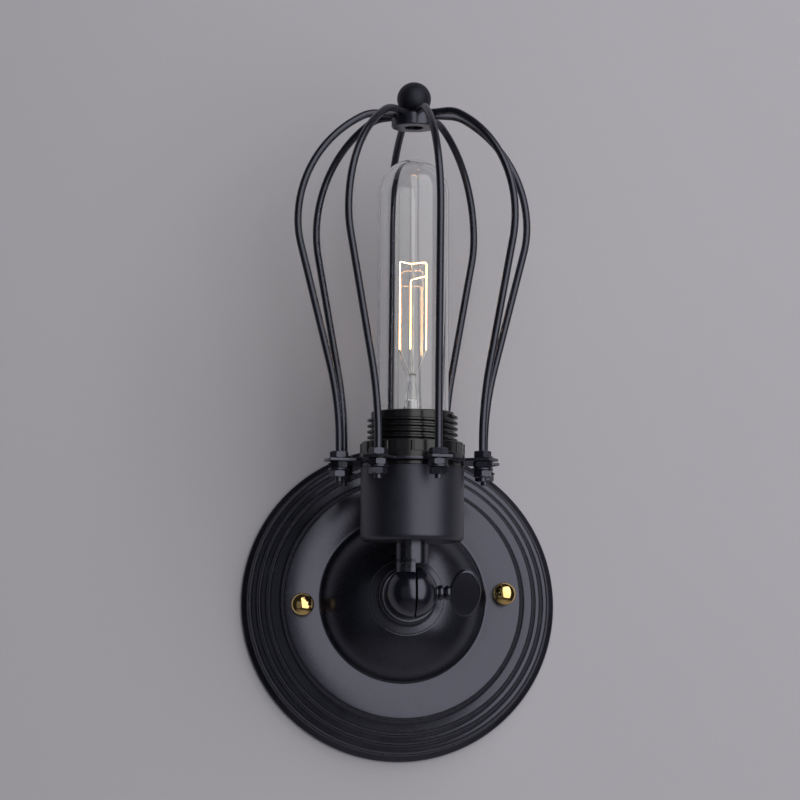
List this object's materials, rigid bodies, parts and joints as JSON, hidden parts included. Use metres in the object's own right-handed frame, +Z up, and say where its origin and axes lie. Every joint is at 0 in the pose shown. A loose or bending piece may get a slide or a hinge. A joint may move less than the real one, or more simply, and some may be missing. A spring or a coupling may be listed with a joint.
{
  "type": "cage wall light",
  "caption": "Wall light with a stepped round canopy, a swivel that tilts the lamp head, and a bulged wire cage round a tubular filament bulb",
  "frame": {"origin": "centre of the canopy's back, on the wall", "axes": "+Z up, +Y into the wall, -Y into the room, +X right as seen from the room"},
  "size_m": [0.14, 0.122, 0.2899],
  "materials": {
    "black_paint": "satin black",
    "black_bakelite": "gloss black",
    "zinc_steel": "zinc plated",
    "brass": "polished",
    "clear_glass": "clear",
    "dark_glass": "vitrite",
    "white_plastic": "moulded",
    "lead_covering": "smooth",
    "filament": "glowing"
  },
  "bodies": {
    "root": {"canopy": "black_paint", "wall_strap": "zinc_steel", "strap_studs": "zinc_steel", "stud_nuts": "zinc_steel", "cap_nuts": "brass", "earth_screw": "brass", "terminal_block": "white_plastic", "terminal_screws": "zinc_steel", "supply_leads": "lead_covering", "canopy_tube": "zinc_steel", "canopy_nut": "zinc_steel", "canopy_washer": "zinc_steel", "collar": "black_paint", "swivel_base": "black_paint"},
    "head": {"swivel_head": "black_paint", "head_tube": "zinc_steel", "head_leads": "lead_covering", "socket_cup": "black_paint", "holder_base": "black_bakelite", "holder_body": "black_bakelite", "holder_screws": "zinc_steel", "screw_shell": "brass", "centre_contact": "brass", "ring_nut": "black_bakelite", "cage_foot": "black_paint", "upper_nuts": "black_paint", "lower_nuts": "black_paint", "ear_washers": "black_paint", "lock_nuts": "black_paint", "cage_wire_1": "black_paint", "cage_wire_2": "black_paint", "cage_wire_3": "black_paint", "cage_wire_4": "black_paint", "cage_wire_5": "black_paint", "cage_wire_6": "black_paint", "cage_wire_7": "black_paint", "cage_wire_8": "black_paint", "cage_hub": "black_paint", "finial": "black_paint"},
    "wing": {"wing_screw": "black_paint", "wave_washer": "zinc_steel"},
    "bulb": {"bulb_glass": "clear_glass", "bulb_cap": "brass", "cap_insulator": "dark_glass", "cap_contact": "zinc_steel", "lamp_stem": "clear_glass", "lead_wires": "zinc_steel", "filament_hooks": "zinc_steel", "filament": "filament"}
  },
  "joints": [
    {"name": "head_tilt", "type": "hinge", "parent": "root", "child": "head", "pos_m": [0, -0.062, 0], "axis": [1, 0, 0], "range_deg": [-4.5, 178.5]},
    {"name": "wing_turn", "type": "hinge", "parent": "head", "child": "wing", "pos_m": [0, -0.062, 0], "axis": [1, 0, 0], "range_deg": [0, 360]},
    {"name": "bulb_turn", "type": "hinge", "parent": "head", "child": "bulb", "pos_m": [0, -0.062, 0], "axis": [0, -0.0523, 0.9986], "range_deg": [0, 1080]}
  ]
}
